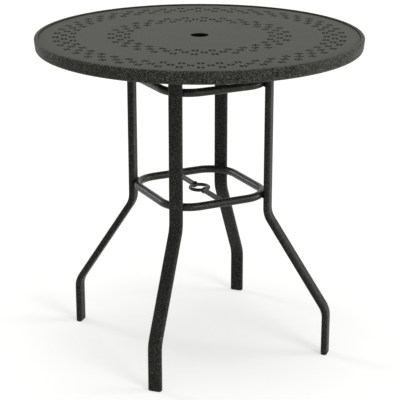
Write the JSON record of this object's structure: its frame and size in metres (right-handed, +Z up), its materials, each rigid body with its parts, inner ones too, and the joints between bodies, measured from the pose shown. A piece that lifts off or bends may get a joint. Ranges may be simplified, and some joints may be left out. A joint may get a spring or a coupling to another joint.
{
  "type": "bar table",
  "caption": "Round bar-height patio table with a punched metal top in a rolled rim, an umbrella hole, bent flat-tube legs and rounded-square tie rings.",
  "frame": {"origin": "the middle of the table's footprint, on the floor", "axes": "+Z up along the umbrella hole; -Y is the front; the legs stand on the diagonals and the crossbar runs along Y"},
  "size_m": [1.0159, 1.0159, 1.016],
  "materials": {
    "coated_top": "textured charcoal powder coat",
    "coated_rim": "textured charcoal powder coat",
    "coated_frame": "textured charcoal powder coat",
    "glide_nylon": "moulded matte black",
    "zinc_steel": "zinc plated"
  },
  "bodies": {
    "root": {"rim": "coated_rim", "top_sheet": "coated_top", "support_rail_front": "coated_frame", "support_rail_rear": "coated_frame", "upper_ring": "coated_frame", "lower_ring": "coated_frame", "umbrella_bar_front": "coated_frame", "umbrella_bar_rear": "coated_frame", "umbrella_ring": "coated_frame", "plate_bolts": "zinc_steel", "rail_nuts": "zinc_steel", "leg_right_rear": "coated_frame", "glide_right_rear": "glide_nylon", "leg_plate_right_rear": "coated_frame", "leg_left_rear": "coated_frame", "glide_left_rear": "glide_nylon", "leg_plate_left_rear": "coated_frame", "leg_left_front": "coated_frame", "glide_left_front": "glide_nylon", "leg_plate_left_front": "coated_frame", "leg_right_front": "coated_frame", "glide_right_front": "glide_nylon", "leg_plate_right_front": "coated_frame"}
  },
  "joints": []
}
